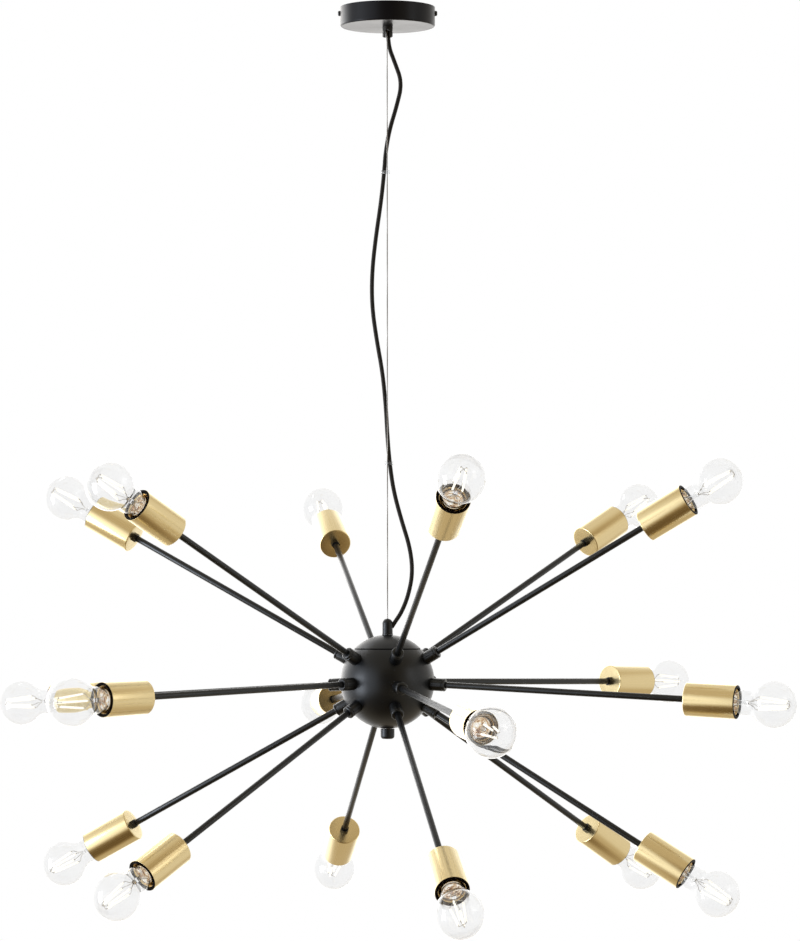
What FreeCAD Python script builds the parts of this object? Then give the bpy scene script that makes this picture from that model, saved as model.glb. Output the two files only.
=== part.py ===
import FreeCAD, Part
import Sketcher
import math
import os
from FreeCAD import Vector, Placement, Rotation

# Sputnik chandelier: a black ball hub hangs from a ceiling canopy on a steel wire, with a
# black cable beside it.  Eighteen rods leave the hub in three rings of six.  Each rod ends
# in a satin brass sleeve that holds a lampholder and a clear 60 mm bulb.
# Frame: origin at the centre of the bracket's back face, on the ceiling.  +Z up, -Y to the
# front, +X to the right seen from the front.  Millimetres.

doc = FreeCAD.newDocument("Chandelier")
sheet = doc.addObject("Spreadsheet::Sheet", "Dims")

DIMENSIONS = [
    # ceiling parts
    ("canopy_radius", 60.5, "outside of the canopy cup"),
    ("canopy_wall", 1.2, "sheet of the canopy cup"),
    ("canopy_height", 25.0, "ceiling to the underside"),
    ("canopy_gap", 0.5, "ceiling to the canopy rim"),
    ("canopy_edge", 2.2, "rounding of the lower edge"),
    ("bracket_half", 58.3, "half of the bracket's length"),
    ("bracket_width", 18.0, ""),
    ("bracket_sheet", 1.5, ""),
    ("bracket_ear", 14.0, "depth of the bent ends"),
    ("slot_spacing", 70.0, "between the centres of the two slots"),
    ("slot_length", 14.0, "end to end"),
    ("slot_width", 4.6, ""),
    ("feed_hole_radius", 8.0, "hole for the house cable"),
    ("side_screw_drop", 8.0, "ceiling to the side screws' axis"),
    ("side_screw_radius", 1.9, ""),
    ("side_screw_head", 3.4, "head radius"),
    ("gland_radius", 6.5, ""),
    ("gland_bore", 5.75, ""),
    ("gland_length", 13.3, "below the canopy"),
    ("gland_slit", 4.6, "between the two jaws"),
    ("gland_shank", 6.3, "radius of the threaded shank"),
    ("pivot_drop", 34.0, "ceiling to the point the pendant swings about"),
    ("bush_radius", 3.6, ""),
    ("bush_clear", 5.8, "pivot to the underside of the bush"),
    ("bush_height", 2.2, ""),
    # suspension
    ("wire_radius", 0.75, ""),
    ("cord_radius", 2.7, ""),
    ("hang_top", 30.3, "ceiling to the top ends of wire and cord"),
    ("clip_height", 4.2, "clear clip rings"),
    ("clip_clear", 0.7, "ring to cord"),
    ("clip_wall", 1.0, ""),
    # hub
    ("hub_drop", 859.3, "ceiling to the hub's centre"),
    ("hub_radius", 59.5, ""),
    ("hub_wall", 1.5, ""),
    ("hub_seam", 41.0, "hub centre up to the lid's seam"),
    ("lid_gap", 1.1, "shadow gap between lid and shell"),
    ("lid_boss_radius", 7.0, ""),
    ("lid_top", 59.65, "hub centre to the top of the lid's boss"),
    ("rod_hole_radius", 5.1, "holes at the top and the foot of the hub"),
    ("tie_radius", 5.0, "threaded tube through the hub"),
    ("tie_bore", 3.5, ""),
    ("finial_radius", 8.9, ""),
    ("finial_top", 59.55, "hub centre down to the finial"),
    ("finial_height", 12.9, ""),
    ("finial_round", 4.0, ""),
    ("grip_radius", 6.6, ""),
    ("grip_foot", 59.75, "hub centre up to the foot of the cord grip"),
    ("grip_shoulder", 72.2, ""),
    ("grip_top", 80.1, ""),
    ("ferrule_radius", 1.9, ""),
    ("ferrule_top", 74.0, ""),
    ("ferrule_height", 8.0, ""),
    # arms, measured from the hub's centre
    ("arm_inner", 47.0, "inner end of the arm tube"),
    ("arm_radius", 4.0, ""),
    ("arm_bore", 3.0, ""),
    ("arm_fit", 4.05, "holes that the tube passes"),
    ("collar_radius", 8.0, ""),
    ("collar_end", 78.0, ""),
    ("nut_outer", 57.3, "outer face of the nut inside the hub"),
    ("nut_height", 5.0, ""),
    ("nut_flats", 13.0, ""),
    ("locknut_height", 4.0, ""),
    ("locknut_flats", 10.0, ""),
    ("sleeve_start", 392.0, "back face of the brass sleeve"),
    ("sleeve_length", 64.0, ""),
    ("sleeve_radius", 21.0, ""),
    ("sleeve_wall", 1.0, ""),
    ("sleeve_round", 1.4, "rounding of the back edge"),
    ("holder_flange", 0.6, "black ring over the sleeve's mouth"),
    ("flange_radius", 20.7, ""),
    ("holder_radius", 19.6, ""),
    ("holder_bore", 17.2, ""),
    ("holder_boss", 8.0, ""),
    ("holder_flare", 22.0, "sleeve back to the start of the flare"),
    ("holder_floor", 29.0, "sleeve back to the floor of the holder"),
    ("arm_grip", 12.0, "length of the tube inside the sleeve"),
    ("shell_bore", 13.7, "screw shell, clear inside"),
    ("shell_outer", 15.1, ""),
    ("shell_end", 58.0, ""),
    ("shell_mouth", 62.4, "end of the screw shell's flared mouth"),
    # bulb, measured from the sleeve's back face
    ("bulb_tip", 35.0, "contact of the bulb"),
    ("cap_rim", 62.0, ""),
    ("cap_crest", 13.2, ""),
    ("cap_root", 12.7, ""),
    ("cap_bore", 12.35, ""),
    ("bulb_centre", 110.0, ""),
    ("bulb_radius", 30.0, ""),
    ("glass_wall", 0.7, ""),
    ("neck_radius", 16.3, ""),
    ("neck_blend", 20.0, "radius between neck and ball"),
    ("stem_radius", 3.0, ""),
    ("stem_bore", 2.2, ""),
    ("stem_top", 80.0, ""),
    ("filament_radius", 1.3, ""),
    ("filament_foot", 92.0, ""),
    ("filament_tip", 128.0, ""),
    ("filament_spread", 8.5, "distance from the axis at the foot"),
    ("filament_close", 5.0, "distance from the axis at the tip"),
]

# One row per arm: name, azimuth from the front towards +X, elevation, both in degrees.
ARMS = [
    ("top_15", 11.3, 29.0), ("top_75", 70.0, 29.8), ("top_135", 131.1, 27.5),
    ("top_195", 191.9, 27.4), ("top_255", 251.8, 28.2), ("top_315", 311.5, 28.4),
    ("mid_15", 13.9, -5.6), ("mid_75", 70.6, -2.8), ("mid_135", 131.1, -0.6),
    ("mid_195", 191.1, -4.5), ("mid_255", 253.0, -3.4), ("mid_315", 312.1, -2.0),
    ("low_15", 11.4, -31.4), ("low_75", 69.7, -30.8), ("low_135", 129.1, -30.2),
    ("low_195", 190.2, -31.6), ("low_255", 252.4, -28.3), ("low_315", 312.2, -29.9),
]

# Cord route: x, y, and height above the hub's centre.  The cord snakes round the wire,
# behind it where the two cross, and two clear rings hold them together.
CORD_ROUTE = [
    (0.6, 1.8, 829.0), (0.6, 2.0, 811.0), (8.8, 4.2, 790.0), (18.6, 5.6, 763.0),
    (11.2, 5.2, 732.0), (2.4, 4.6, 703.0), (-2.8, 4.2, 673.0), (-4.4, 1.6, 648.0),
    (-8.4, 0.4, 610.0), (-14.9, 0.8, 566.0), (-19.8, 1.6, 522.0), (-20.0, 2.4, 478.0),
    (-14.2, 3.0, 436.0), (-6.4, 3.2, 393.0), (-2.2, 3.4, 350.0), (-0.2, 3.5, 311.0),
    (2.7, 2.2, 277.0), (7.6, 1.6, 242.0), (17.6, 1.2, 205.0), (28.6, 0.8, 170.0),
    (32.0, 0.4, 138.5), (26.6, 0.0, 110.0), (18.0, 0.0, 88.2), (8.9, 0.0, 74.9),
    (5.2, 0.0, 68.9),
]
CLIP_HEIGHTS = (648.0, 277.0)

for i, (alias, value, note) in enumerate(DIMENSIONS, start=1):
    sheet.set("A%d" % i, alias)
    sheet.set("B%d" % i, str(value))
    sheet.setAlias("B%d" % i, alias)
    sheet.set("C%d" % i, note)
first = len(DIMENSIONS) + 2
for i, (arm, azimuth, elevation) in enumerate(ARMS):
    row = first + i
    sheet.set("A%d" % row, arm)
    sheet.set("B%d" % row, str(azimuth))
    sheet.setAlias("B%d" % row, "azimuth_" + arm)
    sheet.set("C%d" % row, str(elevation))
    sheet.setAlias("C%d" % row, "elevation_" + arm)
doc.recompute()


class Dim:
    """A size with its value and the spreadsheet expression that drives it."""

    def __init__(self, value, text):
        self.value = value
        self.text = text

    def __add__(self, other):
        other = dim(other)
        return Dim(self.value + other.value, "(%s + %s)" % (self.text, other.text))

    __radd__ = __add__

    def __sub__(self, other):
        other = dim(other)
        return Dim(self.value - other.value, "(%s - %s)" % (self.text, other.text))

    def __rsub__(self, other):
        return dim(other) - self

    def __mul__(self, other):
        other = dim(other)
        return Dim(self.value * other.value, "(%s * %s)" % (self.text, other.text))

    __rmul__ = __mul__

    def __truediv__(self, other):
        other = dim(other)
        return Dim(self.value / other.value, "(%s / %s)" % (self.text, other.text))

    def __neg__(self):
        return Dim(-self.value, "(0 - %s)" % self.text)

    def root(self):
        return Dim(math.sqrt(self.value), "sqrt(%s)" % self.text)


def dim(thing):
    return thing if isinstance(thing, Dim) else Dim(float(thing), "%.6f" % float(thing))


def d(alias):
    return Dim(float(sheet.get(alias)), "Dims." + alias)


def leg(radius, other):
    """The other leg of a right triangle: a point of a circle at a given height."""
    return (radius * radius - other * other).root()


def origin_plane(body, role):
    for feature in body.Origin.OriginFeatures:
        if feature.Role == role:
            return feature
    raise ValueError(role)


def new_body(name):
    body = doc.addObject("PartDesign::Body", name)
    body.Label = name
    return body


def new_sketch(body, name, role):
    sketch = body.newObject("Sketcher::SketchObject", name)
    sketch.AttachmentSupport = [(origin_plane(body, role), "")]
    sketch.MapMode = "FlatFace"
    return sketch


def fix(sketch, geo, pos, x, y):
    for kind, size in (("DistanceX", x), ("DistanceY", y)):
        index = sketch.addConstraint(Sketcher.Constraint(kind, geo, pos, size.value))
        sketch.setExpression("Constraints[%d]" % index, size.text)


def outline(sketch, points):
    """Closed outline.  Each entry is (x, y) for a straight line to the next point, or
    (x, y, radius, side) for an arc to the next point, its centre to the left (side 1) or
    to the right (side -1) of the way to that point."""
    places = [(dim(p[0]), dim(p[1])) for p in points]
    ends = []
    for i, p in enumerate(points):
        x0, y0 = places[i][0].value, places[i][1].value
        x1, y1 = places[(i + 1) % len(points)][0].value, places[(i + 1) % len(points)][1].value
        if len(p) == 2:
            geo = sketch.addGeometry(Part.LineSegment(Vector(x0, y0, 0), Vector(x1, y1, 0)), False)
            ends.append((geo, 1, 2))
            continue
        radius, side = dim(p[2]), p[3]
        mx, my = (x0 + x1) / 2, (y0 + y1) / 2
        length = math.hypot(x1 - x0, y1 - y0)
        rise = math.sqrt(max(radius.value ** 2 - length ** 2 / 4, 0))
        nx, ny = -(y1 - y0) / length * side, (x1 - x0) / length * side
        cx, cy = mx + nx * rise, my + ny * rise
        start, stop = math.atan2(y0 - cy, x0 - cx), math.atan2(y1 - cy, x1 - cx)
        circle = Part.Circle(Vector(cx, cy, 0), Vector(0, 0, 1), radius.value)
        if side > 0:
            geo = sketch.addGeometry(Part.ArcOfCircle(circle, start, stop), False)
            ends.append((geo, 1, 2))
        else:
            geo = sketch.addGeometry(Part.ArcOfCircle(circle, stop, start), False)
            ends.append((geo, 2, 1))
        if rise > 1e-6:
            index = sketch.addConstraint(Sketcher.Constraint("Radius", geo, radius.value))
            sketch.setExpression("Constraints[%d]" % index, radius.text)
        else:
            # a half circle: its ends give the radius, so only its centre's height is fixed
            upright = abs(x1 - x0) < 1e-9
            size = places[i][0] if upright else places[i][1]
            kind = "DistanceX" if upright else "DistanceY"
            index = sketch.addConstraint(Sketcher.Constraint(kind, geo, 3, size.value))
            sketch.setExpression("Constraints[%d]" % index, size.text)
    for i in range(len(points)):
        geo, head, tail = ends[i]
        after, after_head, _ = ends[(i + 1) % len(points)]
        sketch.addConstraint(Sketcher.Constraint("Coincident", geo, tail, after, after_head))
        fix(sketch, geo, head, *places[i])


def circle(sketch, x, y, radius):
    x, y, radius = dim(x), dim(y), dim(radius)
    geo = sketch.addGeometry(Part.Circle(Vector(x.value, y.value, 0), Vector(0, 0, 1), radius.value), False)
    fix(sketch, geo, 3, x, y)
    index = sketch.addConstraint(Sketcher.Constraint("Radius", geo, radius.value))
    sketch.setExpression("Constraints[%d]" % index, radius.text)


def turned(name, points):
    """A body turned about its own Z axis from an outline in its XZ plane."""
    body = new_body(name)
    sketch = new_sketch(body, name + "_profile", "XZ_Plane")
    outline(sketch, points)
    turn = body.newObject("PartDesign::Revolution", name + "_turn")
    turn.Profile = sketch
    turn.ReferenceAxis = (sketch, ["V_Axis"])
    turn.Angle = 360
    sketch.Visibility = False
    return body


def pocket(body, name, role, draw):
    sketch = new_sketch(body, name + "_outline", role)
    draw(sketch)
    cut = body.newObject("PartDesign::Pocket", name)
    cut.Profile = sketch
    cut.Type = "ThroughAll"
    cut.Midplane = True
    return cut


def drive(obj, **sizes):
    for prop, size in sizes.items():
        obj.setExpression(prop.replace("__", "."), dim(size).text)


def cylinder(name, radius, height, placement=None):
    obj = doc.addObject("Part::Cylinder", name)
    drive(obj, Radius=radius, Height=height)
    if placement is not None:
        obj.Placement = placement
    return obj


nodes = {}


def keep(name, obj):
    obj.Label = name
    nodes[name] = obj
    return obj


def copies(name, pattern, places):
    """One node: the same piece at one or more places, each its own solid."""
    links = []
    for i, place in enumerate(places):
        link = doc.addObject("App::Link", "%s_at_%d" % (name, i + 1))
        link.LinkedObject = pattern
        link.Placement = place
        links.append(link)
    group = doc.addObject("Part::Compound", name)
    group.Links = links
    return keep(name, group)


# ---------------------------------------------------------------- directions
def direction(azimuth, elevation):
    a, e = math.radians(azimuth), math.radians(elevation)
    return Vector(math.sin(a) * math.cos(e), -math.cos(a) * math.cos(e), math.sin(e))


HUB = Vector(0, 0, -d("hub_drop").value)
arm_places = {}
for arm, _, _ in ARMS:
    way = direction(float(sheet.get("azimuth_" + arm)), float(sheet.get("elevation_" + arm)))
    arm_places[arm] = Placement(HUB, Rotation(Vector(0, 0, 1), way))
hub_place = Placement(HUB, Rotation())
all_arms = list(arm_places.values())

# ---------------------------------------------------------------- ceiling bracket
half, sheet_t, ear = d("bracket_half"), d("bracket_sheet"), d("bracket_ear")
bracket = new_body("ceiling_bracket")
profile = new_sketch(bracket, "bracket_profile", "XZ_Plane")
outline(profile, [
    (-half, 0), (-half, -ear), (sheet_t - half, -ear), (sheet_t - half, -sheet_t),
    (half - sheet_t, -sheet_t), (half - sheet_t, -ear), (half, -ear), (half, 0),
])
strip = bracket.newObject("PartDesign::Pad", "bracket_strip")
strip.Profile = profile
drive(strip, Length=d("bracket_width"))
strip.Midplane = True


def draw_slots(sketch):
    r = d("slot_width") / 2
    reach = d("slot_length") / 2 - r
    for side in (-1, 1):
        centre = d("slot_spacing") * (0.5 * side)
        outline(sketch, [
            (centre - reach, -r), (centre + reach, -r, r, 1),
            (centre + reach, r), (centre - reach, r, r, 1),
        ])
    circle(sketch, 0, 0, d("feed_hole_radius"))


pocket(bracket, "bracket_slots", "XY_Plane", draw_slots)
pocket(bracket, "bracket_screw_holes", "YZ_Plane",
       lambda s: circle(s, 0, -d("side_screw_drop"), d("side_screw_radius") + 0.05))
keep("ceiling_bracket", bracket)

# ---------------------------------------------------------------- canopy cup
R, t, low, top, edge = (d("canopy_radius"), d("canopy_wall"), -d("canopy_height"),
                        -d("canopy_gap"), d("canopy_edge"))
canopy = turned("canopy_cover", [
    (d("gland_shank") + 0.1, low), (R - edge, low, edge, 1), (R, low + edge), (R, top),
    (R - t, top), (R - t, low + edge, edge - t, -1), (R - edge, low + t),
    (d("gland_shank") + 0.1, low + t),
])
pocket(canopy, "canopy_screw_holes", "YZ_Plane",
       lambda s: circle(s, 0, -d("side_screw_drop"), d("side_screw_radius") + 0.2))
keep("canopy_cover", canopy)

# small knurled screws that hold the canopy on the bracket's ears
head, shank = d("side_screw_head"), d("side_screw_radius")
screw = turned("side_screw_pattern", [
    (0, -6), (shank - 0.4, -6), (shank, -5.6), (shank, 0.05), (head, 0.05),
    (head, 1.7, 2.2, 1), (head - 1.5, 2.9), (0, 2.9),
])
copies("canopy_side_screws", screw, [
    Placement(Vector(side * d("canopy_radius").value, 0, -d("side_screw_drop").value),
              Rotation(Vector(0, 0, 1), Vector(side, 0, 0))) for side in (-1, 1)])

# ---------------------------------------------------------------- gland, bush, gripper
gr, gb, gs = d("gland_radius"), d("gland_bore"), d("gland_shank")
gland = turned("canopy_gland", [
    (gb, low - d("gland_length")), (gr - 0.6, low - d("gland_length")),
    (gr, low - d("gland_length") + 0.6), (gr, low - 7.2), (gr - 0.45, low - 6.9),
    (gr - 0.45, low - 6.1), (gr, low - 5.8), (gr, low - 0.02), (gs, low - 0.02),
    (gs, low + 5.0), (gb, low + 5.0),
])
pocket(gland, "gland_jaws", "XZ_Plane", lambda s: outline(s, [
    (-(d("gland_slit") / 2), low - d("gland_length") - 1),
    (d("gland_slit") / 2, low - d("gland_length") - 1),
    (d("gland_slit") / 2, low - 6.4, d("gland_slit") / 2, 1),
    (-(d("gland_slit") / 2), low - 6.4),
]))
keep("canopy_gland", gland)

bush_low = d("bush_clear") - d("pivot_drop")
bush_r = d("bush_radius")
bush = turned("gland_bush", [
    (1.4, bush_low), (bush_r - 0.6, bush_low, 0.6, 1), (bush_r, bush_low + 0.6),
    (bush_r, bush_low + d("bush_height") - 0.6, 0.6, 1),
    (bush_r - 0.6, bush_low + d("bush_height")), (1.4, bush_low + d("bush_height")),
])
keep("gland_bush", bush)

# self-locking wire gripper: its foot is the nut that holds the gland in the canopy
foot = low + t + 0.02
gripper = turned("gripper_blank", [
    (gs + 0.05, foot), (9.5, foot), (9.5, foot + 3.6), (8.4, foot + 4.4), (8.0, foot + 7.0, 4.0, 1),
    (4.2, foot + 11.0), (4.0, foot + 15.5), (3.2, foot + 16.4), (1.1, foot + 16.4),
    (1.1, foot + 9.6), (5.2, foot + 6.8), (gs + 0.05, foot + 4.2),
])
pocket(gripper, "gripper_window", "XZ_Plane", lambda s: outline(s, [
    (3.0, foot + 5.0), (12.0, foot + 5.0), (12.0, foot + 8.4), (3.0, foot + 8.4)]))
keep("wire_gripper", gripper)

# terminal block under the bracket strip
block = doc.addObject("Part::Box", "terminal_body")
drive(block, Length=15, Width=16, Height=12)
block.Placement = Placement(Vector(11.2, -8, -13.52), Rotation())
wells = []
for i in range(3):
    well = cylinder("terminal_well_%d" % (i + 1), 1.9, 8,
                    Placement(Vector(18.7, -5.2 + 5.2 * i, -17.5), Rotation()))
    wire_way = cylinder("terminal_way_%d" % (i + 1), 1.5, 20,
                        Placement(Vector(9, -5.2 + 5.2 * i, -7.0), Rotation(Vector(0, 0, 1), Vector(1, 0, 0))))
    wells += [well, wire_way]
well_tools = doc.addObject("Part::MultiFuse", "terminal_openings")
well_tools.Shapes = wells
terminal = doc.addObject("Part::Cut", "terminal_block")
terminal.Base, terminal.Tool = block, well_tools
keep("terminal_block", terminal)

# ---------------------------------------------------------------- suspension wire and cord
hub_z = -d("hub_drop")
wire_top = Vector(-0.6, -1.6, -d("hang_top").value)
wire_low = Vector(0, 0, (hub_z + d("ferrule_top")).value)
wire = doc.addObject("Part::Cylinder", "suspension_wire")
drive(wire, Radius=d("wire_radius"))
wire.Height = (wire_top - wire_low).Length
wire.Placement = Placement(wire_low, Rotation(Vector(0, 0, 1), wire_top - wire_low))
keep("suspension_wire", wire)


def cord_path(points):
    """Straight runs joined by tangent arcs.  Each arc is as large as its runs allow."""
    edges, at = [], points[0]
    radii, length = [], 0.0
    for before, corner, after in zip(points, points[1:], points[2:]):
        come, go = corner - before, after - corner
        turn = come.getAngle(go)
        reach = 0.45 * min(come.Length, go.Length)
        radius = reach / math.tan(turn / 2)
        come.normalize()
        go.normalize()
        start, stop = corner - come * reach, corner + go * reach
        inward = (go - come).normalize()
        centre = corner + inward * math.hypot(radius, reach)
        middle = centre - inward * radius
        if (start - at).Length > 1e-6:
            edges.append(Part.LineSegment(at, start).toShape())
            length += (start - at).Length
        edges.append(Part.Arc(start, middle, stop).toShape())
        length += radius * turn
        radii.append((radius, math.degrees(turn)))
        at = stop
    edges.append(Part.LineSegment(at, points[-1]).toShape())
    length += (points[-1] - at).Length
    return Part.Wire(edges), radii, length


route = [Vector(x, y, z) + HUB for x, y, z in CORD_ROUTE]
path, radii, cord_length = cord_path(route)
print("cord arcs, radius and turn:", ["%.0f mm %.0f deg" % r for r in radii])
print("cord runs:", ["%.0f" % (b - a).Length for a, b in zip(route, route[1:])])
cord_r = d("cord_radius").value
section = Part.Wire([Part.Circle(route[0], route[1] - route[0], cord_r).toShape()])
cord_shape = path.makePipeShell([section], True, False)
cord = doc.addObject("Part::Feature", "power_cord")
cord.Shape = cord_shape
keep("power_cord", cord)
print("cord length %.1f mm, volume %.1f, section x length %.1f" % (
    cord_length, cord_shape.Volume, math.pi * cord_r ** 2 * cord_length))


def clip_ring(name, height):
    """A flat clear band round the wire and the cord."""
    z = height + HUB.z
    share = (z - wire_low.z) / (wire_top.z - wire_low.z)
    wire_at = wire_low + (wire_top - wire_low) * share
    cord_at = min((Vector(x, y, zz) + HUB for x, y, zz in CORD_ROUTE), key=lambda p: abs(p.z - z))
    cord_at = Vector(cord_at.x, cord_at.y, z)
    wire_at = Vector(wire_at.x, wire_at.y, z)
    across = (wire_at - cord_at)
    span = across.Length + d("wire_radius").value - cord_r + 0.25
    across.normalize()
    side = Vector(0, 0, 1).cross(across)
    rings = []
    clear = cord_r + d("clip_clear").value
    for r in (clear, clear + d("clip_wall").value):
        a, b = cord_at, cord_at + across * span
        wire_loop = Part.Wire([
            Part.LineSegment(a - side * r, b - side * r).toShape(),
            Part.Arc(b - side * r, b + across * r, b + side * r).toShape(),
            Part.LineSegment(b + side * r, a + side * r).toShape(),
            Part.Arc(a + side * r, a - across * r, a - side * r).toShape(),
        ])
        rings.append(Part.Face(wire_loop).extrude(Vector(0, 0, d("clip_height").value)))
    ring = doc.addObject("Part::Feature", name)
    shape = rings[1].cut(rings[0])
    shape.translate(Vector(0, 0, -d("clip_height").value / 2))
    ring.Shape = shape
    return ring


clips = doc.addObject("Part::Compound", "cord_clips")
clips.Links = [clip_ring("cord_clip_%d" % (i + 1), h) for i, h in enumerate(CLIP_HEIGHTS)]
keep("cord_clips", clips)

# ---------------------------------------------------------------- cord grip and ferrule
g, gf, gsh, gt = d("grip_radius"), d("grip_foot"), d("grip_shoulder"), d("grip_top")
fr, ft, fh = d("ferrule_radius"), d("ferrule_top"), d("ferrule_height")
dome = (g * g + (gt - gsh) * (gt - gsh)) / (2 * (gt - gsh))
grip_blank = turned("grip_blank", [
    (0, gf), (g + 0.35, gf), (g + 0.35, gf + 1.3), (g, gf + 1.7), (g, gsh, dome, 1),
    (1.15, gt - 0.12), (1.15, ft), (fr + 0.3, ft), (fr + 0.3, ft - fh - 0.5), (0, ft - fh - 0.5),
])
grip_blank.Placement = hub_place
entry, inside = route[-2], route[-1]
cord_way = cylinder("grip_cord_way", d("cord_radius") + 0.12, 12,
                    Placement(inside, Rotation(Vector(0, 0, 1), entry - inside)))
grip = doc.addObject("Part::Cut", "hub_cord_grip")
grip.Base, grip.Tool = grip_blank, cord_way
keep("hub_cord_grip", grip)

ferrule = turned("wire_ferrule", [
    (0, ft - fh), (fr - 0.4, ft - fh), (fr, ft - fh + 0.4), (fr, ft - 0.4), (fr - 0.4, ft), (0, ft)])
ferrule.Placement = hub_place
keep("wire_ferrule", ferrule)

# ---------------------------------------------------------------- hub
H, w, seam = d("hub_radius"), d("hub_wall"), d("hub_seam")
hole = d("rod_hole_radius")
Hi = H - w
shell_blank = turned("hub_shell_blank", [
    (hole, -leg(H, hole), H, 1), (leg(H, seam), seam), (leg(Hi, seam), seam, Hi, -1),
    (hole, -leg(Hi, hole)),
])
shell_blank.Placement = hub_place
hole_pattern = cylinder("rod_hole_pattern", d("arm_fit"), 25)
hole_pattern.Placement = Placement(Vector(0, 0, 45), Rotation())
hole_links = []
for arm, place in arm_places.items():
    link = doc.addObject("App::Link", "hub_hole_" + arm)
    link.LinkedObject = hole_pattern
    link.Placement = place.multiply(hole_pattern.Placement)
    hole_links.append(link)
hole_group = doc.addObject("Part::Compound", "hub_holes")
hole_group.Links = hole_links
shell = doc.addObject("Part::Cut", "hub_shell")
shell.Base, shell.Tool = shell_blank, hole_group
keep("hub_shell", shell)

lip, gap = leg(Hi, seam) - 0.25, d("lid_gap")
lid_inner = leg(Hi, hole)
lid = turned("hub_lid", [
    (hole, lid_inner), (hole, d("lid_top")), (d("lid_boss_radius"), d("lid_top")),
    (d("lid_boss_radius"), leg(H, d("lid_boss_radius")), H, -1), (leg(H, seam + gap), seam + gap),
    (lip + 0.8, seam + gap), (lip + 0.8, seam + 0.12), (lip, seam + 0.12), (lip, seam - 4), (lip - 1.2, seam - 4),
    (lip - 1.2, leg(Hi, lip - 1.2), Hi, 1),
])
lid.Placement = hub_place
keep("hub_lid", lid)

fn, ftop, fhh, frd = d("finial_radius"), d("finial_top"), d("finial_height"), d("finial_round")
tie = d("tie_radius")
finial = turned("hub_finial", [
    (0, -(ftop + fhh)), (fn - frd, -(ftop + fhh), frd, 1), (fn, -(ftop + fhh - frd)),
    (fn, -(ftop + 0.5)), (fn - 0.5, -ftop), (tie + 0.05, -ftop), (tie + 0.05, -(ftop + 8)),
    (0, -(ftop + 8)),
])
finial.Placement = hub_place
keep("hub_finial", finial)

rod = turned("hub_tie_rod", [
    (d("tie_bore"), -(ftop + 7.6)), (tie, -(ftop + 7.6)), (tie, d("lid_top") - 0.05),
    (d("tie_bore"), d("lid_top") - 0.05)])
rod.Placement = hub_place
keep("hub_tie_rod", rod)

# ---------------------------------------------------------------- arms
fit_r, col, end = d("arm_fit"), d("collar_radius"), d("collar_end")
collar = turned("collar_pattern", [
    (fit_r, leg(H, fit_r), H, -1), (col, leg(H, col)), (col, end - 4.2), (col - 0.7, end - 3.9),
    (col - 0.7, end - 3.2), (col, end - 2.9), (col, end - 1.2), (col - 1.4, end), (fit_r, end),
])
copies("arm_collars", collar, all_arms)

tube = turned("tube_pattern", [
    (d("arm_bore"), d("arm_inner")), (d("arm_radius"), d("arm_inner")),
    (d("arm_radius"), d("sleeve_start") + d("arm_grip")),
    (d("arm_bore"), d("sleeve_start") + d("arm_grip")),
])
copies("arm_tubes", tube, all_arms)


def hex_nut(name, flats, height, start, bore):
    """A six-sided nut on the Z axis."""
    body = new_body(name)
    sketch = new_sketch(body, name + "_outline", "XY_Plane")
    corner = flats / dim(math.sqrt(3))
    places = []
    for i in range(6):
        a = math.radians(60 * i)
        places.append((corner * round(math.cos(a), 9), corner * round(math.sin(a), 9)))
    outline(sketch, places)
    circle(sketch, 0, 0, bore)
    pad = body.newObject("PartDesign::Pad", name + "_pad")
    pad.Profile = sketch
    drive(pad, Length=height)
    sketch.AttachmentOffset = Placement(Vector(0, 0, start.value), Rotation())
    sketch.setExpression("AttachmentOffset.Base.z", start.text)
    return body


copies("arm_inner_nuts", hex_nut("inner_nut_pattern", d("nut_flats"), d("nut_height"),
                                 d("nut_outer") - d("nut_height"), fit_r), all_arms)
S = d("sleeve_start")
copies("sleeve_locknuts", hex_nut("locknut_pattern", d("locknut_flats"), d("locknut_height"),
                                  S - d("locknut_height"), fit_r), all_arms)

sr, sw, sround, sl = d("sleeve_radius"), d("sleeve_wall"), d("sleeve_round"), d("sleeve_length")
sleeve = turned("sleeve_pattern", [
    (fit_r, S), (sr - sround, S, sround, 1), (sr, S + sround), (sr, S + sl), (sr - sw, S + sl),
    (sr - sw, S + sround, sround - sw, -1), (sr - sround, S + sw), (fit_r, S + sw),
])
copies("socket_sleeves", sleeve, all_arms)

# ---------------------------------------------------------------- lampholders
hr, hb, boss = d("holder_radius"), d("holder_bore"), d("holder_boss")
flange, floor, flare = d("holder_flange"), d("holder_floor"), d("holder_flare")
fl = d("flange_radius")
holder = turned("holder_pattern", [
    (0, S + d("arm_grip") + 0.3), (fit_r, S + d("arm_grip") + 0.3), (fit_r, S + sw), (boss, S + sw),
    (boss, S + flare), (hr, S + flare + 4), (hr, S + sl), (fl, S + sl), (fl, S + sl + flange - 0.3),
    (fl - 0.3, S + sl + flange), (hb, S + sl + flange), (hb, S + floor), (0, S + floor),
])
copies("lampholder_bodies", holder, all_arms)

si, so, send = d("shell_bore"), d("shell_outer"), d("shell_end")
rings = [(si - 3.6, S + floor), (so, S + floor)]
for i in range(6):
    at = S + floor + 3.2 + 3.6 * i
    rings += [(so, at), (so - 0.7, at + 0.9), (so - 0.7, at + 1.7), (so, at + 2.6)]
mouth = S + d("shell_mouth")
rings += [(so, S + send), (hb - 0.25, mouth - 0.5), (hb - 0.25, mouth), (hb - 0.75, mouth),
          (so - 0.7, S + send + 0.5)]
for i in range(5, -1, -1):
    at = S + floor + 3.2 + 3.6 * i
    rings += [(so - 0.7, at + 2.9), (si, at + 1.8), (si, at + 0.8), (so - 0.7, at - 0.3)]
rings += [(so - 0.7, S + floor + 0.6), (si - 3.6, S + floor + 0.6)]
copies("lampholder_shells", turned("shell_pattern", rings), all_arms)

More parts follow.
